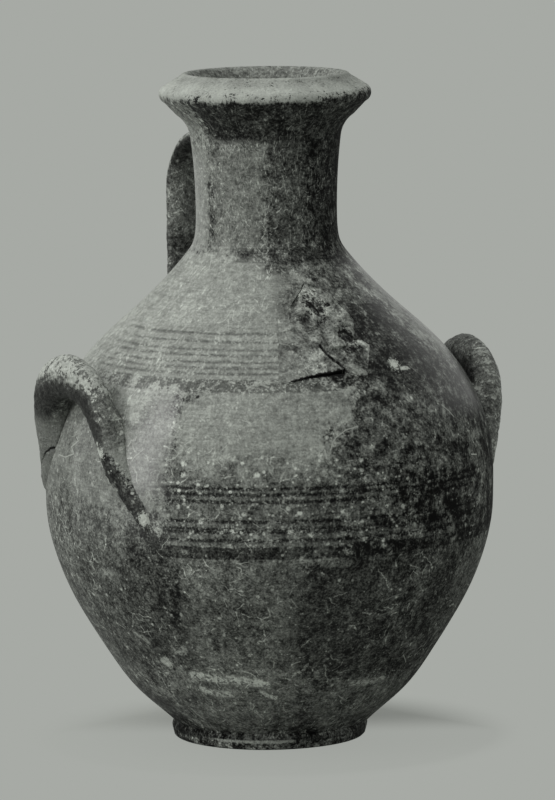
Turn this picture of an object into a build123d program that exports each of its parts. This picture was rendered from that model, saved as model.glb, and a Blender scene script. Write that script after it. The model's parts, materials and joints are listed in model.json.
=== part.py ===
from build123d import *

import os
from math import cos, radians, sin, tan

# Thrown body. The jar stands on z = 0 and turns about the Z axis.
belly_radius = 121.6
belly_height = 146.5
wall = 6.5
floor_radius = 50.0
floor_thickness = 7.0
floor_round = 9.0

# Foot, a low turned ring
foot_radius = 54.5
foot_height = 9.0
foot_edge = 2.0
ring_width = 12.0
ring_slope = 3.0
foot_recess = 5.0
seat_radius = 53.5

# Neck and flaring mouth. The waist is the neck's narrowest place.
waist_radius = 38.4
waist_height = 287.0
mouth_rise = 74.0
lip_height = 34.0
lip_overhang = 19.0

# Seams where the thrown sections were luted together, under the belly, the waist and the lip
belly_seam_drop = 33.0
neck_seam_drop = 25.0
mouth_seam_drop = 5.0
seam_ridge = 2.2

# Side handles, rolled arches that lean along the shoulder
arch_span = 100.0
arch_rise = 71.5
arch_root_drop = 13.5
arch_root_sink = 20.0
arch_inset = 2.0
arch_roll = 18.0
right_handle_turn = -5.0
right_arch_drop = 4.5

# Back handle, an upright strap from the neck to the shoulder
strap_inset = 32.1
strap_width = 27.0
strap_thickness = 11.0
strap_corner_lift = 3.0
strap_rise = 18.0
strap_bend = 32.0

# Mended patch on the front of the shoulder
patch_turn = -99.5
patch_place_share = 0.5
patch_width = 57.0
patch_height = 66.0
patch_depth = 40.0
joint_gap = 0.5
left_sherd_proud = 0.5
right_sherd_sunk = 0.5

# Break through the back leg of the left handle
break_rise = 16.5
break_along = 27.0
break_inner = 8.0
break_tilt = 32.5

# Longer than the jar is wide or tall, for cuts that run right through
overrun = 400.0

# Places on the wall from one end of a stretch to the other: share of the radius gained or lost,
# share of the height, and the way that the outside faces there, in degrees above the horizontal.
bowl_shares = [(0.293, 0.132, -41), (0.555, 0.311, -34), (0.831, 0.550, -24), (0.982, 0.788, -7)]
shoulder_shares = [(0.104, 0.280, 24), (0.313, 0.468, 43), (0.688, 0.675, 47.5), (0.946, 0.843, 33)]

# Corners of the lip: share of its overhang and share of its height
lip_shares = {
    "throat": (0.13, 0.0),
    "flare": (0.50, 0.34),
    "under_nose": (0.87, 0.55),
    "nose": (1.0, 0.69),
    "over_nose": (0.86, 0.80),
    "brow": (0.40, 0.96),
    "crest": (0.26, 1.0),
    "mouth_edge": (0.12, 0.96),
}

# Stations along a side handle, from its back root over the top to its front root: share of the
# half span, of the rise and of the sink that is left, and the roll's size across the wall and
# along it as shares of its thickness.
left_arch_shares = [
    (1.00, 0.00, 1.00, 0.70, 1.00),
    (0.84, 0.25, 0.55, 0.89, 1.22),
    (0.62, 0.64, 0.17, 1.00, 1.33),
    (0.35, 0.92, -0.05, 1.00, 1.33),
    (0.00, 1.00, -0.05, 1.00, 1.33),
    (-0.34, 0.92, 0.06, 0.94, 1.22),
    (-0.62, 0.64, 0.22, 0.89, 1.00),
    (-0.84, 0.25, 0.55, 0.83, 0.94),
    (-1.00, 0.00, 1.00, 0.67, 0.89),
]
right_arch_shares = [
    (0.96, 0.04, 0.90, 0.67, 0.89),
    (0.82, 0.30, 0.45, 0.89, 0.94),
    (0.63, 0.66, 0.10, 0.94, 1.22),
    (0.38, 0.92, -0.05, 0.94, 1.33),
    (0.00, 1.00, -0.05, 0.94, 1.33),
    (-0.35, 0.91, -0.02, 0.94, 1.22),
    (-0.63, 0.66, 0.17, 0.94, 1.06),
    (-0.82, 0.30, 0.55, 0.83, 0.94),
    (-0.96, 0.04, 0.95, 0.67, 0.89),
]

# Corners of the mended sherds, as shares of the patch's width and height
patch_shares = {
    "left_foot": (-0.50, -0.27),
    "left_toe": (-0.42, -0.31),
    "low_edge": (-0.20, -0.285),
    "low_tip": (0.13, -0.265),
    "notch": (0.17, -0.22),
    "cleft": (0.08, -0.14),
    "centre": (0.01, -0.03),
    "crown": (0.04, 0.14),
    "left_brow": (-0.07, 0.15),
    "left_edge": (-0.37, 0.19),
    "top_left": (-0.33, 0.36),
    "top_step": (-0.15, 0.48),
    "top": (0.03, 0.69),
    "top_right": (0.24, 0.62),
    "far_right": (0.43, 0.33),
    "right_brow": (0.36, 0.11),
    "inner_brow": (0.25, 0.18),
    "right_edge": (0.49, 0.05),
    "right_foot": (0.37, -0.27),
    "right_toe": (0.28, -0.28),
}
left_sherd_corners = ["left_foot", "left_toe", "low_edge", "low_tip", "notch", "cleft", "centre",
                      "crown", "left_brow", "left_edge"]
upper_sherd_corners = ["left_edge", "left_brow", "crown", "inner_brow", "right_brow", "far_right",
                       "top_right", "top", "top_step", "top_left"]
right_sherd_corners = ["centre", "cleft", "notch", "right_toe", "right_foot", "right_edge",
                       "right_brow", "inner_brow", "crown"]
patch_corners = ["left_foot", "left_toe", "low_edge", "low_tip", "notch", "right_toe", "right_foot",
                 "right_edge", "right_brow", "far_right", "top_right", "top", "top_step", "top_left",
                 "left_edge"]

os.makedirs("parts", exist_ok=True)


def wall_points(shares, start, end, inset):
    """Points of the wall between two places, moved in from the outside by an inset."""
    points = []
    for radius_share, height_share, facing in shares:
        radius = start[0] + (end[0] - start[0]) * radius_share
        height = start[1] + (end[1] - start[1]) * height_share
        turn = radians(facing)
        points.append((radius - inset * cos(turn), height - inset * sin(turn)))
    return points


rim_height = waist_height + mouth_rise
lip_foot = rim_height - lip_height
belly_seam = belly_height - belly_seam_drop
neck_seam = waist_height - neck_seam_drop
mouth_seam = lip_foot - mouth_seam_drop


def lip_point(name):
    """A corner of the lip, from its shares."""
    overhang_share, height_share = lip_shares[name]
    return (waist_radius + lip_overhang * overhang_share, lip_foot + lip_height * height_share)


seat = (seat_radius, foot_height)
belly = (belly_radius, belly_height)
waist = (waist_radius, waist_height)
floor_height = foot_height + floor_thickness
inner_seat = (floor_radius, floor_height)
inner_belly = (belly_radius - wall, belly_height)
inner_waist = (waist_radius - wall, waist_height)
inner_throat = (waist_radius - wall, lip_foot)


def draw_outside():
    """The jar's outer line, from the foot's seat up to the edge of the mouth."""
    Spline(seat, *wall_points(bowl_shares, seat, belly, 0), belly, tangents=[(1, 1), (0, 1)])
    Spline(belly, *wall_points(shoulder_shares, belly, waist, 0), waist, tangents=[(0, 1), (0, 1)])
    throat = TangentArc(waist, lip_point("throat"), tangent=(0, 1))
    flare = TangentArc(throat @ 1, lip_point("flare"), tangent=throat % 1)
    Line(flare @ 1, lip_point("under_nose"))
    ThreePointArc(lip_point("under_nose"), lip_point("nose"), lip_point("over_nose"))
    Line(lip_point("over_nose"), lip_point("brow"))
    ThreePointArc(lip_point("brow"), lip_point("crest"), lip_point("mouth_edge"))


def draw_inside():
    """The jar's inner line, from the edge of the mouth down to the floor."""
    TangentArc(inner_throat, lip_point("mouth_edge"), tangent=(0, 1))
    Line(inner_throat, inner_waist)
    Spline(inner_belly, *wall_points(shoulder_shares, belly, waist, wall), inner_waist,
           tangents=[(0, 1), (0, 1)])
    Spline(inner_seat, *wall_points(bowl_shares, seat, belly, wall), inner_belly,
           tangents=[(1, 1), (0, 1)])


# The whole thrown wall in section, and the jar's outside filled to the axis
with BuildSketch(Plane.XZ) as wall_section:
    with BuildLine():
        draw_outside()
        draw_inside()
        Polyline(inner_seat, (0, floor_height), (0, foot_height), seat)
    make_face()

with BuildPart() as filled_jar:
    with BuildSketch(Plane.XZ):
        with BuildLine():
            draw_outside()
            Polyline(lip_point("mouth_edge"), (0, rim_height), (0, foot_height), seat)
        make_face()
    revolve(axis=Axis.Z)


def seam_points(height):
    """A seam's ridge, over the middle half of the wall where the seam crosses it."""
    crossing = wall_section.sketch.intersect(Edge.make_line((0, 0, height), (overrun, 0, height)))
    width = sum(edge.length for edge in crossing)
    middle = sum(edge.center().X for edge in crossing) / len(crossing)
    return [(middle - width / 4, height), (middle, height + seam_ridge), (middle + width / 4, height)]


def thrown_zone(low, high):
    """Corners of the zone between two seams, or between a seam and an end of the jar."""
    corners = [(0, low)]
    if low > foot_height:
        corners += seam_points(low)
    corners += [(overrun, low), (overrun, high)]
    if high < rim_height:
        corners += reversed(seam_points(high))
    corners += [(0, high)]
    return corners


# Foot: a turned disc with a ring to stand on, hollowed underneath
with BuildPart() as foot:
    with BuildSketch(Plane.XZ):
        with BuildLine():
            ring_outer = foot_radius - foot_edge
            ring_inner = ring_outer - ring_width
            Polyline((ring_outer, 0), (ring_inner, 0), (ring_inner - ring_slope, foot_recess),
                     (0, foot_recess), (0, foot_height), seat, (foot_radius, foot_height - foot_edge),
                     (foot_radius, foot_edge))
            TangentArc((foot_radius, foot_edge), (ring_outer, 0), tangent=(0, -1))
        make_face()
    revolve(axis=Axis.Z)
foot.part.label = "foot"
export_step(foot.part, "parts/foot.step")

# Lower wall: the bowl that was thrown on the wheel, with its floor
with BuildPart() as lower_wall:
    with BuildSketch(Plane.XZ):
        add(wall_section.sketch_local)
        Polygon(*thrown_zone(foot_height, belly_seam), align=None, mode=Mode.INTERSECT)
    revolve(axis=Axis.Z)
    fillet(lower_wall.faces().filter_by(Plane.XY).sort_by(Axis.Z)[1].edges(), floor_round)
lower_wall.part.label = "lower_wall"
export_step(lower_wall.part, "parts/lower_wall.step")

# The patch lies on a plane that touches the shoulder at its middle
shoulder_line = Spline(belly, *wall_points(shoulder_shares, belly, waist, 0), waist,
                       tangents=[(0, 1), (0, 1)])
patch_spot = shoulder_line @ patch_place_share
patch_slope = shoulder_line % patch_place_share
patch_east = (cos(radians(patch_turn)), sin(radians(patch_turn)))
patch_plane = Plane(
    origin=(patch_spot.X * patch_east[0], patch_spot.X * patch_east[1], patch_spot.Y),
    x_dir=(-patch_east[1], patch_east[0], 0),
    z_dir=(patch_slope.Y * patch_east[0], patch_slope.Y * patch_east[1], -patch_slope.X),
)


def patch_outline(names):
    """Corners of a sherd or of the whole patch, in the patch's plane."""
    return [(patch_width * patch_shares[name][0], patch_height * patch_shares[name][1]) for name in names]


# Upper wall: the shoulder section, open where the sherds were broken out of it
with BuildPart() as upper_wall:
    with BuildSketch(Plane.XZ):
        add(wall_section.sketch_local)
        Polygon(*thrown_zone(belly_seam, neck_seam), align=None, mode=Mode.INTERSECT)
    revolve(axis=Axis.Z)
    with BuildSketch(patch_plane):
        Polygon(*patch_outline(patch_corners), align=None)
    extrude(amount=patch_depth, both=True, mode=Mode.SUBTRACT)
upper_wall.part.label = "upper_wall"
export_step(upper_wall.part, "parts/upper_wall.step")


def lifted(lift):
    """The sketch plane of the wall's section and its axis, moved along the patch's normal."""
    shift = patch_plane.z_dir * lift
    return Plane(origin=shift, x_dir=Plane.XZ.x_dir, z_dir=Plane.XZ.z_dir), Axis(shift, Axis.Z.direction)


# Three sherds glued back into the shoulder, each smaller than its place by the joint gap.
# The left one stands a little proud of the wall.
proud_plane, proud_axis = lifted(left_sherd_proud)
with BuildPart() as left_sherd:
    with BuildSketch(proud_plane):
        add(wall_section.sketch_local)
        Polygon(*thrown_zone(belly_seam, neck_seam), align=None, mode=Mode.INTERSECT)
    revolve(axis=proud_axis)
    with BuildSketch(patch_plane):
        Polygon(*patch_outline(left_sherd_corners), align=None)
        offset(amount=-joint_gap / 2, kind=Kind.INTERSECTION, mode=Mode.REPLACE)
    extrude(amount=patch_depth, both=True, mode=Mode.INTERSECT)
left_sherd.part.label = "left_sherd"
export_step(left_sherd.part, "parts/left_sherd.step")

with BuildPart() as upper_sherd:
    with BuildSketch(Plane.XZ):
        add(wall_section.sketch_local)
        Polygon(*thrown_zone(belly_seam, neck_seam), align=None, mode=Mode.INTERSECT)
    revolve(axis=Axis.Z)
    with BuildSketch(patch_plane):
        Polygon(*patch_outline(upper_sherd_corners), align=None)
        offset(amount=-joint_gap / 2, kind=Kind.INTERSECTION, mode=Mode.REPLACE)
    extrude(amount=patch_depth, both=True, mode=Mode.INTERSECT)
upper_sherd.part.label = "upper_sherd"
export_step(upper_sherd.part, "parts/upper_sherd.step")

# The right one has sunk a little
sunk_plane, sunk_axis = lifted(-right_sherd_sunk)
with BuildPart() as right_sherd:
    with BuildSketch(sunk_plane):
        add(wall_section.sketch_local)
        Polygon(*thrown_zone(belly_seam, neck_seam), align=None, mode=Mode.INTERSECT)
    revolve(axis=sunk_axis)
    with BuildSketch(patch_plane):
        Polygon(*patch_outline(right_sherd_corners), align=None)
        offset(amount=-joint_gap / 2, kind=Kind.INTERSECTION, mode=Mode.REPLACE)
    extrude(amount=patch_depth, both=True, mode=Mode.INTERSECT)
right_sherd.part.label = "right_sherd"
export_step(right_sherd.part, "parts/right_sherd.step")

# Neck: the plain cylinder between the shoulder and the mouth
with BuildPart() as neck:
    with BuildSketch(Plane.XZ):
        add(wall_section.sketch_local)
        Polygon(*thrown_zone(neck_seam, mouth_seam), align=None, mode=Mode.INTERSECT)
    revolve(axis=Axis.Z)
neck.part.label = "neck"
export_step(neck.part, "parts/neck.step")

# Mouth: the flaring lip
with BuildPart() as mouth:
    with BuildSketch(Plane.XZ):
        add(wall_section.sketch_local)
        Polygon(*thrown_zone(mouth_seam, rim_height), align=None, mode=Mode.INTERSECT)
    revolve(axis=Axis.Z)
mouth.part.label = "mouth"
export_step(mouth.part, "parts/mouth.step")


def arch_planes(stations, outward, backward, drop):
    """Planes across a side handle's roll, one for each station along its middle line."""
    middle = []
    for span_share, rise_share, sink_share, *_ in stations:
        radius = belly_radius - arch_inset - arch_root_sink * sink_share
        height = belly_height - arch_root_drop + (arch_rise - drop) * rise_share
        middle.append(outward * radius + backward * (arch_span / 2 * span_share) + Vector(0, 0, height))
    line = Spline(*middle)
    return [Plane(origin=point, x_dir=outward, z_dir=line.tangent_at(point)) for point in middle]


# Right handle: a roll of clay bent to an arch that leans along the shoulder and sinks into the wall
right_outward = Vector(1, 0, 0).rotate(Axis.Z, right_handle_turn)
right_backward = Vector(0, 1, 0).rotate(Axis.Z, right_handle_turn)
right_planes = arch_planes(right_arch_shares, right_outward, right_backward, right_arch_drop)
with BuildPart() as right_handle:
    for plane, (*_, across_share, along_share) in zip(right_planes, right_arch_shares):
        with BuildSketch(plane):
            Ellipse(arch_roll / 2 * across_share, arch_roll / 2 * along_share)
    loft()
    add(filled_jar.part, mode=Mode.SUBTRACT)
right_handle.part.label = "right_handle"
export_step(right_handle.part, "parts/right_handle.step")

# The left handle is the same kind of roll, a little taller, and broken through its back leg
left_planes = arch_planes(left_arch_shares, Vector(-1, 0, 0), Vector(0, 1, 0), 0)
with BuildPart() as left_arch:
    for plane, (*_, across_share, along_share) in zip(left_planes, left_arch_shares):
        with BuildSketch(plane):
            Ellipse(arch_roll / 2 * across_share, arch_roll / 2 * along_share)
    loft()
    add(filled_jar.part, mode=Mode.SUBTRACT)


def below_break(drop):
    """Corners of the zone under the break, seen from the side, moved down by a drop."""
    slope = tan(radians(break_tilt))
    break_height = belly_height + break_rise - drop
    inner_height = break_height + slope * (break_along - break_inner)
    outer_height = break_height + slope * (break_along - arch_span)
    return [(break_inner, inner_height), (break_inner, 0), (arch_span, 0), (arch_span, outer_height)]


with BuildPart() as left_handle:
    add(left_arch.part)
    with BuildSketch(Plane.YZ):
        Polygon(*below_break(0), align=None)
    extrude(amount=overrun, both=True, mode=Mode.SUBTRACT)
left_handle.part.label = "left_handle"
export_step(left_handle.part, "parts/left_handle.step")

with BuildPart() as left_handle_root:
    add(left_arch.part)
    with BuildSketch(Plane.YZ):
        Polygon(*below_break(joint_gap), align=None)
    extrude(amount=overrun, both=True, mode=Mode.INTERSECT)
left_handle_root.part.label = "left_handle_root"
export_step(left_handle_root.part, "parts/left_handle_root.step")

# Back handle: a strap that leaves the neck under the lip, bends over and drops to the shoulder
strap_reach = belly_radius - strap_inset
strap_corner = lip_foot + strap_corner_lift
with BuildPart() as back_handle:
    with BuildLine(Plane.YZ) as strap_line:
        FilletPolyline((0, strap_corner - strap_rise), (strap_reach, strap_corner),
                       (strap_reach, belly_height), radius=strap_bend)
    with BuildSketch(Plane(origin=strap_line.line @ 0, x_dir=(1, 0, 0), z_dir=strap_line.line % 0)):
        Ellipse(strap_width / 2, strap_thickness / 2)
    sweep(path=strap_line.line)
    add(filled_jar.part, mode=Mode.SUBTRACT)
back_handle.part.label = "back_handle"
export_step(back_handle.part, "parts/back_handle.step")
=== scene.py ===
import json
from bisect import bisect_right
from functools import reduce
from math import cos, hypot, pi, radians, sin

import bmesh
import bpy
import numpy as np
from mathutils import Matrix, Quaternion, Vector, noise
from mathutils.kdtree import KDTree


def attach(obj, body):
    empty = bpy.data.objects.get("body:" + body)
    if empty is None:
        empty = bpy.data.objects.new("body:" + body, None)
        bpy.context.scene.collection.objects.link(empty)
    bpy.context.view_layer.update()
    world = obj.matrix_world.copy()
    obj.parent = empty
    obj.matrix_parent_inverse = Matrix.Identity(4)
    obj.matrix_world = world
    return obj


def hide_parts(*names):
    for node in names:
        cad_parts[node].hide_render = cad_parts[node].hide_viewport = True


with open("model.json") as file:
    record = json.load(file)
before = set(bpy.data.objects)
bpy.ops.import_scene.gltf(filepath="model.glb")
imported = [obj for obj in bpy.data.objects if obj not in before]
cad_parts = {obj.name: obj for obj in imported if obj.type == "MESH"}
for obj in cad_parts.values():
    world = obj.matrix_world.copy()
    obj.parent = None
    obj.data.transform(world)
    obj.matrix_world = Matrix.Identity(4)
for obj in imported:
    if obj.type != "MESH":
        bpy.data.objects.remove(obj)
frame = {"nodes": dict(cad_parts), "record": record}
noise.seed_set(7)  # or noise_vector differs from run to run
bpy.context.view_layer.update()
cadNodes = frame["nodes"]
scene = bpy.context.scene
scene.view_settings.view_transform = "Standard"
mm = 0.001


# The camera stands where the photograph was taken from

photoView = {
    "azimuth": -29.0,  # degrees
    "elevation": 7.5,
    "roll": -0.65,
    "aimHeight": 183.0,  # mm
    "distance": 3355.0,
    "focalPixels": 6190.0,
    "shiftPixels": 9.0,
    "imageHeight": 800.0,
    "sensor": 36.0,
    "clip": (0.1, 50),  # m
}


def direction(turn, rise):  # degrees left of the camera and above the level
    turn, rise = radians(photoView["azimuth"] - turn), radians(rise)
    return Vector((sin(turn) * cos(rise), -cos(turn) * cos(rise), sin(rise)))


towardsCamera = direction(0, photoView["elevation"])


def roundJar(side):  # the way out at some degrees from the camera's side
    turn = radians(photoView["azimuth"] - 90 + side)
    return Vector((cos(turn), sin(turn), 0))


camera = bpy.data.objects.new("photoCamera", bpy.data.cameras.new("photoCamera"))
scene.collection.objects.link(camera)
roll = Quaternion((0, 0, 1), radians(photoView["roll"]))
camera.location = (Vector((0, 0, photoView["aimHeight"])) + towardsCamera * photoView["distance"]) * mm
camera.rotation_mode = "QUATERNION"
camera.rotation_quaternion = (-towardsCamera).to_track_quat("-Z", "Y") @ roll
camera.data.sensor_width = photoView["sensor"]
camera.data.lens = photoView["focalPixels"] * photoView["sensor"] / photoView["imageHeight"]
camera.data.shift_x = photoView["shiftPixels"] / photoView["imageHeight"]
camera.data.clip_start, camera.data.clip_end = photoView["clip"]
scene.camera = camera
print("camera placed")


# Shader arithmetic: an expression on wires adds its Math nodes

class Wire:
    def __init__(self, paint, socket):
        self.paint = paint
        self.socket = socket

    def maths(self, operation, *values):
        return self.paint.node("Math", {"operation": operation}, *values)

    def __add__(self, other):
        return self.maths("ADD", self, other)

    def __sub__(self, other):
        return self.maths("SUBTRACT", self, other)

    def __rsub__(self, other):
        return self.maths("SUBTRACT", other, self)

    def __mul__(self, other):
        return self.maths("MULTIPLY", self, other)

    def __truediv__(self, other):
        return self.maths("DIVIDE", self, other)

    def __pow__(self, other):
        return self.maths("POWER", self, other)

    def __abs__(self):
        return self.maths("ABSOLUTE", self)

    __radd__ = __add__
    __rmul__ = __mul__

    def atMost(self, other):
        return self.maths("MINIMUM", self, other)

    def atLeast(self, other):
        return self.maths("MAXIMUM", self, other)

    def rise(self, low, high):  # 0 below low, 1 above high, smooth between
        settings = {"interpolation_type": "SMOOTHSTEP", "clamp": False}  # a smooth step needs no clamp
        return self.paint.node("MapRange", settings, self, **{"From Min": low, "From Max": high})

    def fall(self, low, high):
        return 1 - self.rise(low, high)

    def band(self, low, high, soft):  # 1 between low and high, with soft edges
        return self.rise(low - soft, low + soft) * self.fall(high - soft, high + soft)

    def near(self, middle, reach):  # 1 at the middle, 0 a reach away
        return abs(self - middle).fall(0.0, reach)

    def to(self, other, share):  # moved to the other value by a share
        return self.paint.node("Mix", None, share, None, self, other)

    def beside(self, name):  # another output of the same node
        return Wire(self.paint, self.socket.node.outputs[name])


class Paint:
    def __init__(self, name, tree=None):
        if tree is None:
            self.material = bpy.data.materials.new(name)
            self.material.use_nodes = True
            tree = self.material.node_tree
        self.tree = tree
        self.tree.nodes.clear()

    def node(self, kind, settings=None, *values, output=0, **named):
        made = self.tree.nodes.new("ShaderNode" + kind)
        for key, value in (settings or {}).items():
            setattr(made, key, value)
        for key, value in [*enumerate(values), *named.items()]:
            socket = made.inputs[key]
            if isinstance(value, Wire):
                self.tree.links.new(value.socket, socket)
            elif value is not None:
                socket.default_value = value
        return Wire(self, made.outputs[output])

    def vector(self, operation, *values, **named):
        return self.node("VectorMath", {"operation": operation}, *values, **named)

    def place(self):  # the surface point, in mm in the jar's frame
        return self.vector("SCALE", self.node("TexCoord", output="Object"), Scale=1 / mm)

    def parts(self, vector):
        split = self.node("SeparateXYZ", None, vector)
        return [split.beside(name) for name in "XYZ"]

    def shifted(self, place, *way):
        return self.vector("ADD", place, way)

    def stretched(self, place, *way):
        return self.vector("MULTIPLY", place, way)

    def dot(self, place, way):
        return self.vector("DOT_PRODUCT", place, way, output="Value")

    def grain(self, place, size, detail=3.0, rough=0.5, bend=0.0):  # noise with features of a size in mm
        return self.node("TexNoise", None, output="Fac",
                         Vector=place, Scale=1 / size, Detail=detail, Roughness=rough, Distortion=bend)

    def marked(self, name):  # a value that the mesh carries at its points
        return self.node("Attribute", {"attribute_name": name}, output="Fac")

    def finish(self, surface):
        out = self.tree.nodes.new("ShaderNodeOutputMaterial")
        self.tree.links.new(surface.socket, out.inputs["Surface"])
        return self.material


# Meshes

def addPiece(name, data):
    data.validate()
    shown = bpy.data.objects.new(name, data)
    scene.collection.objects.link(shown)
    return shown


def fromMesh(name, mesh):
    data = bpy.data.meshes.new(name)
    mesh.to_mesh(data)
    mesh.free()
    return addPiece(name, data)


def fromPoints(name, points, faces):
    data = bpy.data.meshes.new(name)
    data.from_pydata(points, [], faces)
    return addPiece(name, data)


def joinRings(mesh, rings):  # faces between neighbouring rings
    for here, there in zip(rings, rings[1:]):
        for k in range(len(here)):
            after = (k + 1) % len(here)
            mesh.faces.new((here[k], here[after], there[after], there[k]))


def strips(columns, count, turns, closed):  # faces between neighbouring columns
    faces = []
    for k in range(turns):
        here, there = k * count, (k + 1) % columns * count
        for i in range(count if closed else count - 1):
            j = (i + 1) % count
            faces.append((here + i, there + i, there + j, here + j))
    return faces


# Room: a pale paper floor and backdrop, a tall window on the left and a skylight over it

room = {
    "paper": (0.386, 0.402, 0.376, 1.0),
    "paperShade": (0.44, 0.455, 0.43, 1.0),
    "fadeStart": 0.055,  # m from the axis, where the floor fades to the backdrop
    "fadeEnd": 0.14,
    "paperGlow": 0.88,  # share of the backdrop's tone before the foot, which keeps the shadow faint
    "shadowBehind": 0.5,  # how much less of it behind the foot
    "floorRadius": 1.6,
    "floorRings": 24,
    "floorSpokes": 96,
    "floorGap": 0.05,  # mm that the paper lies under the foot
    "roomTint": (1, 1.02, 0.98, 1),
    "lampTint": (1.0, 1.0, 0.98),
    "roomDark": 0.44,  # light from the camera's side, and from the far side
    "roomPale": 0.55,
}
windows = {
    # turn is in degrees to the camera's left, sizes in m, light is the pane's brightness
    "windowLeft": {"turn": 66, "rise": 14, "away": 1.5, "wide": 0.5, "tall": 1.45, "light": 3.9},
    "skylight": {"turn": 74, "rise": 62, "away": 1.5, "wide": 1.5, "tall": 1.3, "light": 1.7},
}


def paperFloor():
    mesh, spokes = bmesh.new(), room["floorSpokes"]
    rings = []
    for ring in range(1, room["floorRings"] + 1):
        radius = room["floorRadius"] * (ring / room["floorRings"]) ** 1.5
        turns = [2 * pi * k / spokes for k in range(spokes)]
        rings.append([mesh.verts.new((radius * cos(turn), radius * sin(turn), -room["floorGap"] * mm))
                      for turn in turns])
    mesh.faces.new(rings[0])
    joinRings(mesh, rings[::-1])
    floor = fromMesh("paperFloor", mesh)
    floor.data.materials.append(paperMaterial())


def paperMaterial():
    paint = Paint("paper")
    place = paint.node("TexCoord", output="Object")
    x, y = paint.parts(place)[:2]
    away = (x * x + y * y) ** 0.5
    seen = reduce(Wire.atLeast, [paint.node("LightPath", output=f"Is {ray} Ray")
                                 for ray in ("Camera", "Glossy", "Transmission")])
    lit = paint.node("BsdfDiffuse", Color=room["paperShade"])
    flat = paint.node("Emission", Color=room["paper"])
    behind = paint.dot(place, roundJar(0)).fall(-0.055, 0.005)
    fade = away.rise(room["fadeStart"], room["fadeEnd"]).atLeast(room["paperGlow"] - behind * room["shadowBehind"])
    return paint.finish(paint.node("MixShader", None, fade * seen, lit, flat))


def roomLight():
    world = bpy.data.worlds.new("room")
    scene.world = world
    world.use_nodes = True
    paint = Paint("room", world.node_tree)
    sky = paint.node("TexCoord", output="Generated")
    facing = paint.dot(sky, towardsCamera)
    seen = paint.node("LightPath", output="Is Camera Ray")
    dim = facing.rise(-0.35, 0.45)
    level = room["roomPale"] * (1 - dim) + room["roomDark"] * dim
    dark = paint.node("Background", None, room["roomTint"], level)
    pale = paint.node("Background", None, room["paper"], 1.0)
    out = paint.tree.nodes.new("ShaderNodeOutputWorld")
    mixed = paint.node("MixShader", None, seen, dark, pale)
    paint.tree.links.new(mixed.socket, out.inputs["Surface"])


def addWindows():
    for name, pane in windows.items():
        lamp = bpy.data.lights.new(name, "AREA")
        lamp.shape = "RECTANGLE"
        lamp.size, lamp.size_y = pane["wide"], pane["tall"]
        lamp.energy = pane["light"] * pi * pane["wide"] * pane["tall"]
        lamp.color = room["lampTint"]
        way = direction(pane["turn"], pane["rise"])
        shown = bpy.data.objects.new(name, lamp)
        shown.location = way * pane["away"] + Vector((0, 0, photoView["aimHeight"] * mm))
        shown.rotation_mode = "QUATERNION"
        shown.rotation_quaternion = (-way).to_track_quat("-Z", "Y")
        scene.collection.objects.link(shown)


paperFloor()
roomLight()
addWindows()
print("room lit")


# Thrown wall: each section is spun again from the line that its solid was turned from

thrown = {
    "around": 640,
    "step": 1.1,  # mm along the line
    "cornerDegrees": 33,
    "unevenBroad": (0.3, 55),  # mm that the thrown face lies in, and over what size
    "unevenNarrow": (0.1, 13),
    "throwingRings": (0.05, 2.6),
    "footRight": 2.6,  # mm that the foot lies in, on its right and at its worn edge
    "footRightSide": 80,  # degrees
    "footEdge": 1.0,
    "footEdgeHigh": 6,  # mm
    "footInner": 49.5,  # mm from the axis, where its outer face begins
}


def turnedLine(name):  # radius and height in mm, where the solid crosses the XZ plane
    mesh = bmesh.new()
    mesh.from_mesh(cadNodes[name].data)
    bmesh.ops.remove_doubles(mesh, verts=mesh.verts, dist=1e-7)
    crossing = {v for v in mesh.verts if abs(v.co.y) < 1e-6 and v.co.x > 1e-6}
    beside = {v: [e.other_vert(v) for e in v.link_edges if e.other_vert(v) in crossing] for v in crossing}
    line = [min(crossing, key=lambda v: (len(beside[v]), v.co.z, v.co.x))]
    passed = set(line)
    while True:
        ahead = [v for v in beside[line[-1]] if v not in passed]
        if not ahead:
            break
        line.append(ahead[0])
        passed.add(ahead[0])
    closed = len(beside[line[0]]) > 1
    points = [Vector((v.co.x, v.co.z)) / mm for v in line]
    mesh.free()
    turned = sum(a.x * b.y - b.x * a.y for a, b in zip(points, points[1:] + points[:1]))
    if turned < 0:
        points.reverse()
    return points, closed


def softRun(points, step):  # a smooth curve through the points, in steps
    chords = [b - a for a, b in zip(points, points[1:])]
    slopes = [chords[0].normalized()]
    for a, b in zip(chords, chords[1:]):
        slopes.append((a.normalized() * b.length + b.normalized() * a.length) / (a.length + b.length))
    slopes.append(chords[-1].normalized())
    made = []
    for start, end, chord, out, into in zip(points, points[1:], chords, slopes, slopes[1:]):
        pieces = max(1, round(chord.length / step))
        for i in range(pieces):
            t = i / pieces
            made.append(start * (2 * t ** 3 - 3 * t ** 2 + 1) + end * (3 * t ** 2 - 2 * t ** 3)
                        + (out * (t ** 3 - 2 * t ** 2 + t) + into * (t ** 3 - t ** 2)) * chord.length)
    return made


def finerLine(points, closed, step):  # sharp corners kept and curves smooth
    def bend(before, here, after):
        return (here - before).angle(after - here, 0.0)
    count = len(points)
    corners = [i for i in range(count) if (closed or 0 < i < count - 1) and
               bend(points[i - 1], points[i], points[(i + 1) % count]) > radians(thrown["cornerDegrees"])]
    if closed:
        points = points[corners[0]:] + points[:corners[0]] + [points[corners[0]]]
        corners = [i - corners[0] for i in corners] + [count]
    else:
        corners = [0] + corners + [count - 1]
    made = []
    for start, end in zip(corners, corners[1:]):
        made += softRun(points[start:end + 1], step)
    return made if closed else made + [points[-1]]


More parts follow.
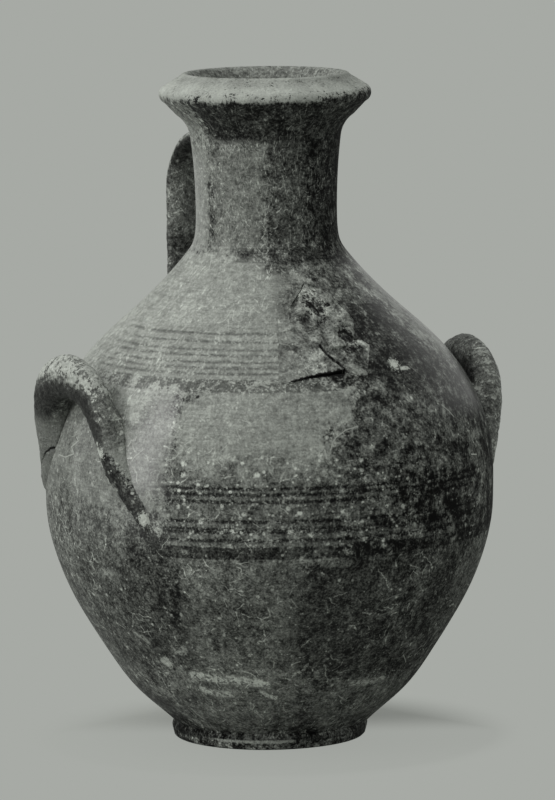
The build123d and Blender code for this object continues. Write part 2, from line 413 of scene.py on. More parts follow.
def unevenness(point):  # mm that a hand-thrown point lies inside the drawn surface
    (broad, broadSize), (narrow, narrowSize), (rings, ringSize) = (
        thrown[name] for name in ("unevenBroad", "unevenNarrow", "throwingRings"))
    return (broad * (noise.noise(point / broadSize) + 1)
            + narrow * (noise.noise(point / narrowSize + Vector((7, 3, 1))) + 1)
            + rings * (noise.noise(Vector((0, 0, point.z / ringSize))) + 1)) / 2


def lineNormals(line, closed):
    normals = []
    count = len(line)
    for i in range(count):
        before = line[i - 1] if closed or i > 0 else line[i]
        after = line[(i + 1) % count] if closed or i < count - 1 else line[i]
        way = (after - before).normalized()
        normals.append(Vector((way.y, -way.x)))
    return normals


def spun(name, line, closed, worn):
    # worn(point, normal) gives each point's place
    around, count = thrown["around"], len(line)
    normals = lineNormals(line, closed)
    points = []
    for k in range(around):
        c, s = cos(2 * pi * k / around), sin(2 * pi * k / around)
        for spot, out in zip(line, normals):
            point, way = (Vector((pair.x * c, pair.x * s, pair.y)) for pair in (spot, out))
            points.append(worn(point, way) * mm)
    faces = strips(around, count, around, closed)
    if not closed:  # flat ends on the axis
        for i, flip in ((0, True), (count - 1, False)):
            middle = len(points)
            points.append(Vector((0, 0, line[i].y)) * mm)
            for k in range(around):
                here, there = k * count + i, (k + 1) % around * count + i
                faces.append((middle, there, here) if flip else (middle, here, there))
    return fromPoints(name, points, faces)


def dress(shown, node, material, angle=34):  # smooth, riding with the jar, standing for its solid
    shown.data.shade_smooth()
    shown.data.set_sharp_from_angle(angle=radians(angle))
    shown.data.materials.clear()
    shown.data.materials.append(material)
    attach(shown, "root")
    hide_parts(node)
    next(part["material_slot"] for part in frame["record"]["subparts"] if part["node"] == node)


def baked(shown):  # the piece with its modifiers applied
    data = bpy.data.meshes.new_from_object(shown.evaluated_get(bpy.context.evaluated_depsgraph_get()))
    shown.modifiers.clear()
    shown.data = data
    return shown


class Outside:  # the jar's outer face by height
    def __init__(self):
        self.points = []

    def take(self, line, closed):
        for spot, out in zip(line, lineNormals(line, closed)):
            if out.x > 0.3 and spot.x > 30:
                self.points.append((spot.y, spot.x))
        self.points.sort()

    def radius(self, height):
        above = bisect_right(self.points, height, 1, len(self.points) - 1, key=lambda point: point[0])
        (z0, r0), (z1, r1) = self.points[above - 1], self.points[above]
        share = min(max((height - z0) / max(z1 - z0, 1e-6), 0), 1)
        return r0 + (r1 - r0) * share

    def normal(self, point):
        slope = (self.radius(point.z - 1) - self.radius(point.z + 1)) / 2
        return Vector((point.x, point.y, slope * hypot(point.x, point.y))).normalized()


def handMade(point, out):  # moved in where the hand left the wall low
    if out.x * point.x + out.y * point.y <= 0 or point.z < 1:
        return point
    across = Vector((point.x, point.y, 0)).normalized()
    return point - across * unevenness(point)


def footMade(point, out):
    across = Vector((point.x, point.y, 0)).normalized()
    outer = min(max((hypot(point.x, point.y) - thrown["footInner"]) / 4, 0), 1)
    drawnIn = thrown["footRight"] * max(0.0, across.dot(roundJar(thrown["footRightSide"])))
    drawnIn += thrown["footEdge"] * (1 - min(point.z / thrown["footEdgeHigh"], 1))
    return handMade(point, out) - across * drawnIn * outer


outside = Outside()
lines = {}
for node in ("foot", "lower_wall", "upper_wall", "neck", "mouth"):
    points, closed = turnedLine(node)
    finer = [Vector((spot.x, max(spot.y, 0.0))) for spot in finerLine(points, closed, thrown["step"])]
    lines[node] = (finer, closed)
for node in ("lower_wall", "upper_wall", "neck"):
    outside.take(*lines[node])
print("turned lines read")


# Mended patch: sherds glued back into the front of the shoulder

patch = {
    "turn": -99.5,  # degrees round the jar
    "height": 221.26,  # mm
    "wide": 57.0,
    "tall": 66.0,
    "depth": 16.0,
    "pointEvery": 1.2,  # mm along the ragged edges
    "raggedSize": 4.0,
    "raggedReach": 0.55,
    "step": 0.55,
    "sector": 27.0,  # degrees each side
    "sectorFoot": 194.0,
    "sectorHead": 259.0,
}
patchShares = {  # corners as shares of the width and height
    "leftFoot": (-0.5, -0.27), "leftToe": (-0.42, -0.31), "lowEdge": (-0.2, -0.285),
    "lowTip": (0.13, -0.265), "notch": (0.17, -0.22), "cleft": (0.08, -0.14),
    "centre": (0.01, -0.03), "crown": (0.04, 0.14), "leftBrow": (-0.07, 0.15),
    "leftEdge": (-0.37, 0.19), "topLeft": (-0.33, 0.36), "topStep": (-0.15, 0.48),
    "top": (0.03, 0.69), "topRight": (0.24, 0.62), "farRight": (0.43, 0.33),
    "rightBrow": (0.36, 0.11), "innerBrow": (0.25, 0.18), "rightEdge": (0.49, 0.05),
    "rightFoot": (0.37, -0.27), "rightToe": (0.28, -0.28),
}
patchEdge = ("leftFoot leftToe lowEdge lowTip notch rightToe rightFoot rightEdge rightBrow "
             "farRight topRight top topStep topLeft leftEdge")
sherds = {  # openings: the corner where a joint gapes, how far along, and the way (mm)
    "left_sherd": {
        "corners": "leftFoot leftToe lowEdge lowTip notch cleft centre crown leftBrow leftEdge",
        "lift": 0.3, "tilt": (0.012, -0.02), "rough": 0.75, "inset": 0.05,
        "openings": (("lowTip", 20, (-0.8, 1.9)), ("lowEdge", 14, (0.0, 0.9)), ("cleft", 8, (-0.9, -0.3))),
    },
    "upper_sherd": {
        "corners": "leftEdge leftBrow crown innerBrow rightBrow farRight topRight top topStep topLeft",
        "lift": -0.15, "tilt": (0, 0), "rough": 2.1, "inset": 0.02,
        "openings": (("innerBrow", 6, (0.0, 0.6)),),
    },
    "right_sherd": {
        "corners": "centre cleft notch rightToe rightFoot rightEdge rightBrow innerBrow crown",
        "lift": -0.3, "tilt": (0.012, 0), "rough": 2.2, "inset": 0.04,
        "openings": (("notch", 7, (0.6, 0.5)), ("cleft", 7, (0.5, 0.3))),
    },
}


class PatchPlane:
    def __init__(self):
        turn = radians(patch["turn"])
        radius = outside.radius(patch["height"])
        self.origin = Vector((radius * cos(turn), radius * sin(turn), patch["height"]))
        self.out = outside.normal(self.origin)
        self.right = Vector((-sin(turn), cos(turn), 0))
        self.up = self.out.cross(self.right)

    def flat(self, point):
        offset = point - self.origin
        return Vector((offset.dot(self.right), offset.dot(self.up)))

    def lifted(self, spot, height):
        return self.origin + self.right * spot.x + self.up * spot.y + self.out * height


patchPlane = PatchPlane()


def raggedOutline(corners):  # the outline in short ragged steps, the same for both its sides
    spots = [patchCorner(name) for name in corners.split()]
    made = []
    for here, there in zip(spots, spots[1:] + spots[:1]):
        pieces = max(1, round((there - here).length / patch["pointEvery"]))
        for i in range(pieces):
            spot = here.lerp(there, i / pieces)
            coarse = Vector((spot.x, spot.y, 0)) / patch["raggedSize"]
            fine = coarse * 2.7 + Vector((5, 9, 2))
            shift = noise.noise_vector(coarse) + noise.noise_vector(fine) * 0.45
            made.append(spot + Vector((shift.x, shift.y)) * patch["raggedReach"])
    return made


def patchCorner(name):
    return Vector((patch["wide"] * patchShares[name][0], patch["tall"] * patchShares[name][1]))


def insetOutline(outline, settings):  # drawn in a little, and shifted where the joint gapes
    made = []
    for i, spot in enumerate(outline):
        way = (outline[(i + 1) % len(outline)] - outline[i - 1]).normalized()
        moved = spot + Vector((-way.y, way.x)) * settings["inset"]
        for corner, reach, shift in settings["openings"]:
            moved += Vector(shift) * max(0.0, 1 - (spot - patchCorner(corner)).length / reach) ** 1.2
        made.append(moved)
    return made


def prism(name, outline, depth):  # the outline as a block that runs through the wall
    mesh = bmesh.new()
    low, high = ([mesh.verts.new(patchPlane.lifted(spot, height) * mm) for spot in outline]
                 for height in (-depth, depth))
    mesh.faces.new(reversed(low))
    mesh.faces.new(high)
    joinRings(mesh, (low, high))
    return fromMesh(name, mesh)


def cutWith(shown, cutter, operation):
    cut = shown.modifiers.new("cut", "BOOLEAN")
    cut.operation = operation
    cut.solver = "EXACT"
    cut.object = cutter
    baked(shown)
    bpy.data.objects.remove(cutter)
    return shown


def pointsOf(shown):  # the vertices in mm, one in each row
    flat = np.empty(len(shown.data.vertices) * 3)
    shown.data.vertices.foreach_get("co", flat)
    return flat.reshape(-1, 3) / mm


def gapTo(spots, legs):  # how far spots lie from legs, each a start and a way
    nearest = np.full(len(spots), 1e9)
    for start, along in legs:
        away, along = spots - np.array(start), np.array(along)
        share = np.clip(away @ along / max(along @ along, 1e-9), 0, 1)
        nearest = np.minimum(nearest, np.hypot(*(away - share[:, None] * along).T))
    return nearest


def gapToOutline(points, outline):  # in the patch's plane
    offset = points - np.array(patchPlane.origin)
    spots = np.stack((offset @ np.array(patchPlane.right), offset @ np.array(patchPlane.up)), axis=1)
    return gapTo(spots, [(here, there - here) for here, there in zip(outline, outline[1:] + outline[:1])])


def gapToRoute(points, route):  # on the wall laid flat, mm round it and mm high
    side = np.degrees(np.arctan2(points[:, 1], points[:, 0])) - (photoView["azimuth"] - 90)
    spots = np.stack((((side + 180) % 360 - 180) * mmPerDegree, points[:, 2]), axis=1)
    corners = np.array([(side * mmPerDegree, height) for side, height in route])
    return gapTo(spots, zip(corners, corners[1:] - corners[:-1]))


def addAttribute(shown, name, values):  # a value at each vertex, for the finish
    made = shown.data.attributes.new(name, "FLOAT", "POINT")
    made.data.foreach_set("value", np.asarray(values, dtype=np.float32))


mmPerDegree = 1.9  # round the wall, where places are given in degrees and mm
gapingCrack = ((6.4, 205.5), (9.5, 206.8), (13.2, 207.8), (17.4, 208.5), (20.6, 208.7), (23.4, 209.0))
crevices = (  # deep cracks: places (degrees, mm), width and depth
    (((19.2, 221.7), (20.4, 218.3), (21.9, 215.8)), 1.3, 1.6),
    (((21.9, 215.8), (24.1, 212.2), (25, 210.2)), 1.2, 1.4),
    (((28.7, 227.2), (31.7, 228.4), (34, 224.6)), 1.2, 1.5),
    (((11.4, 243), (14.8, 246.2), (21.3, 252.6)), 0.9, 1.2),
    (((20, 243.5), (22.5, 241), (24, 237.5)), 0.9, 1),
)
facets = (  # pale flat breaks: places, width and how proud they stand
    (((25.4, 230.4), (30.5, 233)), 2.9, 0.5),
    (((34.4, 232.6), (35.2, 228)), 1.9, 0.5),
    (((27.1, 212.6), (31.4, 207.4)), 1.5, 0.7),
    (((1.9, 235.2), (6.5, 238.8), (10.6, 242.2)), 1.1, 0.4),
    (((26.5, 246.5), (30.5, 242)), 1, 0.5),
    (((30, 249), (34, 243.5)), 0.9, 0.5),
)


def carved(places):  # mm that crevices and facets add, and a mark for each
    wander = np.array([noise.noise(Vector(row) / 2.0) for row in places])
    deep, proud, rise = np.zeros(len(places)), np.zeros(len(places)), np.zeros(len(places))
    for route, width, depth in crevices:
        share = np.clip(1.25 - gapToRoute(places, route) / width + wander * 0.5, 0, 1)
        deep, rise = np.maximum(deep, share), rise - depth * share
    for route, width, height in facets:
        share = np.clip((1.15 - gapToRoute(places, route) / width + wander * 0.25) * 4, 0, 1)
        proud, rise = np.maximum(proud, share), rise + height * share
    return rise, deep, proud


def flakes(point, size):  # the flat steps that fired clay breaks into
    distances, centres = noise.voronoi(point / size)
    tilt = noise.noise_vector(centres[0] * 3.7)
    return tilt.dot(point / size - centres[0]) * 1.3 + noise.noise(centres[0] * 2.3) * 0.45


def broken(point):  # height of a rough broken face, around 0
    warped = point + noise.noise_vector(point / 6) * 2.5
    return flakes(warped, 10.5) * 0.6 + flakes(warped, 4.6) * 0.34 + noise.fractal(point / 3.2, 0.9, 2.1, 3) * 0.16


def sherdPiece(node, settings, material):
    points, closed = turnedLine("upper_wall")
    line = [p for p in finerLine(points, closed, patch["step"]) if patch["sectorFoot"] < p.y < patch["sectorHead"]]
    outline = raggedOutline(settings["corners"])
    shown = spunSector(node + "Clay", line)
    places = pointsOf(shown)
    away = gapToOutline(places, outline)
    for vertex, row, gap, added in zip(shown.data.vertices, places, away, carved(places)[0]):
        point = Vector(row)
        spot = patchPlane.flat(point)
        lift = settings["lift"] + settings["tilt"][0] * spot.x + settings["tilt"][1] * spot.y
        if hypot(point.x, point.y) > outside.radius(point.z) - 2:
            rough = settings["rough"] * (0.3 + 0.7 * min(max((spot.x + 21) / 12, 0.0), 1.0))
            lift += rough * (broken(point) - 0.12) - unevenness(point) + added
            lift -= 0.35 * max(0.0, 1 - gap / 1.2) * (0.4 + noise.noise(point / 2.2))
        vertex.co = (point + patchPlane.out * lift) * mm
    cutWith(shown, prism("cutter", insetOutline(outline, settings), patch["depth"]), "INTERSECT")
    places = pointsOf(shown)
    addAttribute(shown, "brokenEdge", np.clip(1 - gapToOutline(places, outline) / 1.8, 0, 1))
    addAttribute(shown, "flakeHeight", [broken(Vector(row)) for row in places])
    deep, proud = carved(places)[1:]
    addAttribute(shown, "crevice", deep)
    addAttribute(shown, "facet", proud)
    dress(shown, node, material, 40)


def spunSector(name, line):
    middle, half = radians(patch["turn"]), radians(patch["sector"])
    around = round(2 * half * outside.radius(patch["height"]) / patch["step"])
    count = len(line)
    points = []
    for k in range(around + 1):
        turn = middle + half * (2 * k / around - 1)
        points += [(spot.x * cos(turn) * mm, spot.x * sin(turn) * mm, spot.y * mm) for spot in line]
    ends = [tuple(range(count)), tuple(around * count + i for i in reversed(range(count)))]
    return fromPoints(name, points, ends + strips(around + 1, count, around, True))


# Handles: rolls of clay, softened and smeared into the wall at their roots

rolled = {
    "voxel": 0.6,  # mm
    "smoothing": 8,
    "flare": 2.4,  # mm that a root spreads on the wall
    "flareReach": 7.0,
    "sink": 1.4,
    "lumpSize": 9.0,
    "lumps": 0.35,
    "knobSize": 2.6,
    "knobs": 0.28,
    "breakReach": 1.6,
}
smearedTail = {  # the left handle's front root is smeared on down the wall
    "route": ((-45, 164), (-41.6, 156), (-38.6, 148), (-36, 141), (-33.6, 134), (-31.6, 128)),  # degrees, mm
    "wide": (3.4, 4.4, 4.6, 4.2, 3.4, 1.8),  # half widths, mm
    "high": (2.4, 3, 2.8, 2.4, 1.9, 0.8),
    "round": 14,
}
brokenRoots = {"left_handle": "left_handle_root", "left_handle_root": "left_handle"}


def tailRidge(mesh):  # the smear, as a tapering ridge half sunk in the wall
    rings = []
    spots = [roundJar(side) * outside.radius(height) + Vector((0, 0, height))
             for side, height in smearedTail["route"]]
    for i, spot in enumerate(spots):
        out = outside.normal(spot)
        along = (spots[min(i + 1, len(spots) - 1)] - spots[max(i - 1, 0)]).normalized()
        across = out.cross(along).normalized()
        wide, high = smearedTail["wide"][i], smearedTail["high"][i]
        ring = []
        for k in range(smearedTail["round"]):
            turn = 2 * pi * k / smearedTail["round"]
            ring.append(mesh.verts.new((spot + across * wide * cos(turn) + out * high * sin(turn)) * mm))
        rings.append(ring)
    mesh.faces.new(reversed(rings[0]))
    mesh.faces.new(rings[-1])
    joinRings(mesh, rings)
    bmesh.ops.recalc_face_normals(mesh, faces=mesh.faces)


def rolledPiece(node, material):
    mesh = bmesh.new()
    mesh.from_mesh(cadNodes[node].data)
    if node == "left_handle":
        tailRidge(mesh)
    shown = fromMesh(node + "Clay", mesh)
    voxels = shown.modifiers.new("voxels", "REMESH")
    voxels.mode = "VOXEL"
    voxels.voxel_size = rolled["voxel"] * mm
    soften = shown.modifiers.new("soften", "SMOOTH")
    soften.factor = 0.5
    soften.iterations = rolled["smoothing"]
    baked(shown)
    normals = [vertex.normal.copy() for vertex in shown.data.vertices]
    for vertex, out in zip(shown.data.vertices, normals):
        point = vertex.co / mm
        wallOut = outside.normal(point)
        height = (hypot(point.x, point.y) - outside.radius(point.z)) * hypot(wallOut.x, wallOut.y)
        near = max(0.0, 1 - height / rolled["flareReach"])
        spread = out - wallOut * out.dot(wallOut)
        moved = point + spread * rolled["flare"] * near ** 2.5
        moved -= wallOut * rolled["sink"] * max(0.0, 1 - height / 1.2)
        moved -= out * rolled["lumps"] * (noise.noise(point / rolled["lumpSize"]) + 0.7)
        moved += out * rolled["knobs"] * (noise.noise(point / rolled["knobSize"]) - 0.6)
        vertex.co = moved * mm
    if node in brokenRoots:  # marks the faces beside the break, for the finish
        other = cadNodes[brokenRoots[node]]
        tree = KDTree(len(other.data.vertices))
        for i, vertex in enumerate(other.data.vertices):
            tree.insert(vertex.co, i)
        tree.balance()
        gaps = [tree.find(vertex.co)[2] / mm for vertex in shown.data.vertices]
        addAttribute(shown, "nearBreak", [max(0.0, 1 - gap / rolled["breakReach"]) for gap in gaps])
    dress(shown, node, material, 60)


# Finishes: dark burnished clay under a pale film with painted sheen, painted light on its left and painted shade on
# its right, worn to specks and fine hairs

clayTint = (0.955, 1.0, 0.93)
# Each area's lightness is the clay's own tone together with painted light and shade. The pale areas on the left, on
# the shoulder and on the left of the neck carry painted light and painted sheen from the window on the left. The
# wall beside the left handle is lightened over the handle's shadow, and the right edge of the shoulder carries a
# painted reflection. The dark areas on the right are painted shade.
clayLevels = {
    # degrees round the jar and their softness, mm of height and their softness, and how light that part is;
    # with two softnesses mm across the front, and with one number of degrees the back from there on both sides
    "lowLeft": ((-125, -36), 12, (96, 150), 20, 0.36),
    "lowLeftRim": ((-105, -50), 14, (34, 100), 14, 0.34),
    "lowPanel": ((-48, 16), (1.5, 9), (44, 116), 7, 0.375),
    "lowRight": ((8, 80), 14, (40, 112), 14, 0.225),
    "lowLeftMid": ((-64, -26), 10, (46, 112), 14, 0.29),
    "base": ((-50, 16), 22, (6, 50), 10, 0.365),
    "baseRight": ((14, 70), 10, (10, 42), 9, 0.34),
    "bandedBelly": ((-27, 20), 4, (112, 176), 8, 0.4),
    "bandedRight": ((12, 40), 9, (122, 160), 8, 0.31),
    "rightFace": ((17, 56), 9, (158, 205), 18, 0.28),
    "rightBelly": ((46, 86), 10, (124, 178), 12, 0.23),
    "rightBand": ((40, 75), 14, (100, 122), 6, 0.24),
    "leftWall": ((-112, -26.5), 2.5, (134, 206), 18, 0.46),
    "bellyFilmAndSheen": ((-27, 15), 5, (162, 206), 24, 0.55),
    "upperBellyFilmAndSheen": ((-20, 25), 5, (182, 208), 10, 0.55),
    "besideHandlePaintedLight": ((-50, -35), 5, (184, 206), 8, 0.6),
    "shoulder": ((-122, 12), 9, (198, 268), 7, 0.56),
    "shoulderFront": ((4, 30), 7, (226, 252), 9, 0.42),
    "shoulderTop": ((6, 24), 8, (250, 262), 5, 0.46),
    "rightShoulderTop": ((28, 62), 8, (241, 258), 6, 0.35),
    "rightShoulder": ((22, 36), 9, (210, 246), 12, 0.26),
    "rightPaintedShade": ((36, 62), 7, (200, 240), 12, 0.13),
    "neckLeft": ((-128, -50), 9, (266, 336), 3, 0.5),
    "neckRight": ((-18, 34), 14, (266, 336), 3, 0.3),
    "neckFootRight": ((-2, 44), 6, (257, 272), 3, 0.34),
    "neckFront": ((-52, -1), 12, (267, 336), 3, 0.44),
    "rightRimReflection": ((68, 108), 14, (202, 258), 20, 0.46),
    "lowRightRim": ((62, 104), 10, (60, 112), 12, 0.3),
    "farShoulder": ((112, 158), 15, (184, 240), 22, 0.43),
    "farWall": ((92, 150), 20, (66, 130), 20, 0.31),
    "backShoulder": (156, 14, (196, 250), 18, 0.38),
    "backWall": (142, 18, (50, 150), 24, 0.31),
    "backNeck": (128, 18, (272, 330), 8, 0.36),
}
scratches = (  # fine light scratches: places, lightness
    (((15.9, 171.3), (16.6, 175.2), (17.9, 177.8), (20.6, 180.9), (23.9, 182.2)), 0.68),
    (((-68.9, 160.5), (-64.8, 160.2), (-60.3, 163), (-61.9, 166.5), (-59, 170.2), (-60.3, 171.8)), 0.66),
    (((63.8, 159.6), (66.9, 158.6)), 0.8),
    (((55.6, 187.6), (57.6, 184.2), (59.2, 180.6)), 0.7),
    (((50.6, 52.1), (52.4, 50.2), (55.1, 46.9)), 0.62),
    (((33.3, 87.9), (35.2, 89.4), (38, 90.3)), 0.46),
    (((32.3, 79), (35, 80.2), (38.6, 82.8)), 0.44),
    (((14.3, 171.4), (14.6, 167)), 0.72),
)
smears = (  # wider rubbed marks: places, half width, lightness
    (((47.6, 137), (50.6, 130), (53.4, 121.4), (54.4, 117)), 3.6, 0.42),
    (((56.6, 190), (55.2, 184), (54, 176.5)), 1.6, 0.5),
    (((31, 39.2), (37.6, 38.9), (45.9, 39.8)), 1.9, 0.66),
    (((-28.7, 45.6), (-20.5, 44.4), (-11.4, 43.8), (-2, 42.2)), 3, 0.8),
    (((-27, 37.5), (-20, 34.8), (-15, 35.6)), 2.4, 0.72),
    (((-4, 37), (-1, 34), (1.5, 33.4)), 1.5, 0.78),
    (((7, 47), (9.5, 49), (11, 51.5)), 0.9, 0.7),
    (((-1, 30), (0, 26), (-2, 21.5), (-7, 21)), 0.9, 0.62),
    (((-45.9, 68.5), (-43.6, 66), (-41.7, 63.5)), 1.8, 0.56),
    (((40.6, 211.3), (44, 213.6), (46.4, 217.4)), 1, 0.38),
    (((-66, 333), (-51.6, 329.9)), 1, 0.16),
)
blots = (  # spots: side, height, half width and height in mm, raggedness, lightness
    (-33, 265.8, 7, 6, 0.5, 0.62),
    (-37.7, 52.3, 3.6, 2.6, 0.5, 0.72), (-31, 60.8, 5.5, 2.6, 0.7, 0.64), (-48.6, 101, 6, 2.8, 0.8, 0.6),
    (20.2, 118, 2.2, 2.6, 0.45, 0.62), (18.4, 127.6, 1.8, 1.6, 0.4, 0.54), (-3.5, 126.6, 1.7, 1.7, 0.4, 0.6),
    (6.2, 126.3, 1.6, 1.6, 0.4, 0.56), (29.2, 162.5, 3.2, 1.7, 0.5, 0.46), (47.2, 235.6, 2.4, 1.5, 0.5, 0.58),
    (43.7, 210.4, 3.6, 2.3, 0.55, 0.82), (47, 208.2, 3.4, 0.9, 0.4, 0.8),
    (-29.2, 129.4, 3, 3.2, 0.9, 0.7),
)
shoulderLines = (228.3, 224.5, 220.8, 218.1, 214.9, 212.1, 209.4)  # heights of the turned lines, mm
bellyLines = (151.7, 148.6, 144.8, 134.3, 130.2, 128.6, 124.3)
darkBands = {  # painted bands, between two heights
    "shoulderBand": (200.3, 206.7),
    "bellyBand": (114.2, 120.8),
    "neckBand": (262.6, 269.9),
}


class JarPaint(Paint):  # a finish that knows where it lies on the jar
    def __init__(self, name):
        super().__init__(name)
        self.spot = self.place()
        self.across, front = (self.dot(self.spot, roundJar(side)) for side in (90, 0))
        self.side = self.across.maths("ARCTAN2", self.across, front) * (180 / pi)
        self.height = self.parts(self.spot)[2]
        self.noises = [self.grain(self.spot, size, detail, rough) - 0.5
                       for size, detail, rough in ((34, 3, 0.6), (9, 3, 0.65), (3.2, 2, 0.7), (1.25, 2, 0.8))]
        self.broad, self.middle, self.small, self.fine = self.noises
        self.sheet = self.node("CombineXYZ", None, self.side * mmPerDegree, self.height, 0.0)
        wobble = self.node("TexNoise", None, output="Color", Vector=self.spot, Scale=1 / 4.5, Detail=1.0)
        self.bent = self.vector("ADD", self.sheet, self.stretched(self.shifted(wobble, -0.5, -0.5, -0.5), 4, 4, 0))

    def clouds(self, *weights):  # broad, middle, small and fine noise by weight
        return reduce(Wire.__add__, (grain * weight for grain, weight in zip(self.noises, weights) if weight))

    def area(self, side, soft, height, fade):  # 1 in a part of the wall, with soft edges
        return self.side.band(*side, soft) * self.height.band(*height, fade)

    def scattered(self, cell, shift, sheet=None):  # the nearest scattered place: offset and three chances
        moved = self.shifted(sheet or self.sheet, shift, -shift, 0)
        chance = self.node("TexVoronoi", {"voronoi_dimensions": "2D"}, output="Color",
                           Vector=moved, Scale=1 / cell)
        away = self.vector("SUBTRACT", moved, chance.beside("Position"))
        return self.parts(away)[:2], self.parts(chance)

    def hairs(self, cell, length, width, share, shift, bend=0.06):  # short bent strokes, one in some cells
        (x, y), (turn, curve, there) = self.scattered(cell, shift, self.bent)
        turn = turn * (2 * pi)
        c, s = turn.maths("COSINE", turn), turn.maths("SINE", turn)
        along = x * c + y * s
        across = y * c - x * s - along * along * (curve - 0.5) * (2 * bend)
        return (abs(across).fall(0.25 * width, width) * abs(along).fall(0.5 * length, length)
                * there.rise(1 - share, 1.03 - share))

    def spots(self, cell, size, share, shift):  # small round spots of several sizes, one in some cells
        (x, y), (large, weak, there) = self.scattered(cell, shift)
        away = (x * x + y * y) ** 0.5 / (size * (large * 0.8 + 0.35))
        return away.fall(0.45, 1.1) * there.rise(1 - share, 1.01 - share) * (weak * 0.7 + 0.3)

    def blot(self, side, height, wide, tall, ragged=0.35):  # an irregular spot, wide and tall in mm
        x = (self.side - side) * (mmPerDegree / wide)
        y = (self.height - height) / tall
        away = (x * x + y * y) ** 0.5 + self.clouds(0, 1, 1, 1.4) * (4 * ragged)
        return away.fall(0.9, 0.92 + 0.5 / tall)

    def fromRoute(self, route):  # mm from a route through places (side, height)
        nearest = None
        for start, end in zip(route, route[1:]):
            a, b = (Vector((side * mmPerDegree, height, 0)) for side, height in (start, end))
            away = self.shifted(self.sheet, *(-a))
            share = (self.dot(away, b - a) / (b - a).length_squared).atLeast(0.0).atMost(1.0)
            foot = self.vector("SCALE", b - a, Scale=share)
            gap = self.vector("DISTANCE", away, foot, output="Value")
            nearest = gap if nearest is None else nearest.atMost(gap)
        return nearest

    def gape(self, route):  # a ragged dark crack that widens along the way
        (first, low), (last, high) = route[0], route[-1]
        width = (self.side - first) * (1.1 / (last - first)) + 0.5
        return ((self.fromRoute(route) + self.clouds(0, 0, 1.6, 1.6)) / width.atLeast(0.2)).fall(0.7, 1.2)

    def surface(self, level, roughness, relief, depth, gloss=0.0, shine=0.5):
        # relief in mm, gloss is a share of burnish, shine one number
        tone = level.atLeast(0.04).atMost(0.82) ** 2.2
        colour = self.vector("SCALE", clayTint, Scale=tone)
        bump = self.node("Bump", None, Strength=1.0, Distance=depth * mm, Height=relief)
        shader = self.node("BsdfPrincipled", None, **{
            "Base Color": colour, "Roughness": roughness, "IOR": 1.32, "Specular IOR Level": shine, "Normal": bump,
            "Coat Weight": gloss, "Coat Roughness": 0.2, "Coat IOR": 1.6})
        return self.finish(shader)


def wallLevel(clay):  # the wall's lightness with its painted light and shade, ragged where its areas end, and its pale film and painted sheen
    level = 0.175 + clay.clouds(0.2, 0.12)
    offset = clay.clouds(1.2, 2.2, 1.6, 1)
    for place, soft, height, fade, lightness in clayLevels.values():
        if isinstance(soft, tuple):
            (left, right), (leftSoft, rightSoft) = place, soft
            inside = (clay.across.rise(left - leftSoft, left + leftSoft)
                      * clay.across.fall(right - rightSoft, right + rightSoft) * clay.side.band(-80, 80, 8))
        elif isinstance(place, tuple):
            inside = clay.side.band(*place, soft)
        else:
            inside = abs(clay.side).rise(place - soft, place + soft)
        inside = inside * clay.height.band(*height, fade)
        share = (inside + offset * inside * (1 - inside) * 1.6).rise(0.12, 0.88)
        level = level.to(lightness, share)
    # the pale film and painted sheen lie where the wall is light
    return level, level.rise(0.36, 0.5)


def mottled(clay, level, filmAndSheen):  # grains, blotches, spots and hairs, weaker under the pale film and painted sheen
    contrast = 1 - filmAndSheen * 0.5
    right = clay.area((12, 86), 10, (122, 264), 14)
    grains = clay.clouds(0.3, 0.45, 0.62, 0.8)
    level = level + (grains + right * clay.clouds(0.3, 0.5, 0.1)) * contrast
    blotches = clay.grain(clay.shifted(clay.spot, 0, 40, 0), 4.6, 3, 0.68, 0.6).rise(0.54, 0.62)
    level = level.to(level + 0.13, blotches * (right * 0.8 + 0.2) * contrast)
    spots = clay.spots(7.0, 1.25, 0.3, 5.0).atLeast(clay.spots(3.4, 0.6, 0.3, 13.0))
    level = level.to(level + 0.36, spots * contrast * 0.9)
    hairs = clay.hairs(5.5, 4.4, 0.45, 0.36, 3.0).atLeast(clay.hairs(8.0, 7.0, 0.42, 0.38, 17.0))
    patchy = clay.grain(clay.shifted(clay.spot, 60, 0, 0), 14, 2, 0.6).rise(0.42, 0.62)
    patchy = patchy.atLeast(clay.height.band(266, 326, 6) * 0.8)
    return level.to(level + 0.29, hairs * contrast * patchy * (1 - right * 0.7))


def turnedLines(clay, heights, width, side):  # thin dark lines that wander a little and wear away
    level = clay.height + clay.clouds(1.2, 0, 0.8)
    lines = reduce(Wire.atLeast, (level.near(height, width) for height in heights))
    return lines * clay.side.band(*side, 8) * clay.clouds(0, 1, 0, 0.7).fall(0.0, 0.16)


def darkBand(clay, name, side, soft=6, worn=0.08):
    low, high = darkBands[name]
    level = clay.height + clay.clouds(0, 1.6, 0, 1)
    return (level.band(low, high, 0.5) * clay.side.band(*side, soft)
            * clay.clouds(0, 1, 0.7, 0.7).fall(worn - 0.06, worn + 0.08))


def together(marks):  # many marks as one lightness and one share
    weighed = sum(share * lightness for lightness, share in marks)
    cover = sum(share for lightness, share in marks)
    return weighed / cover.atLeast(0.001), cover.atMost(1.0)


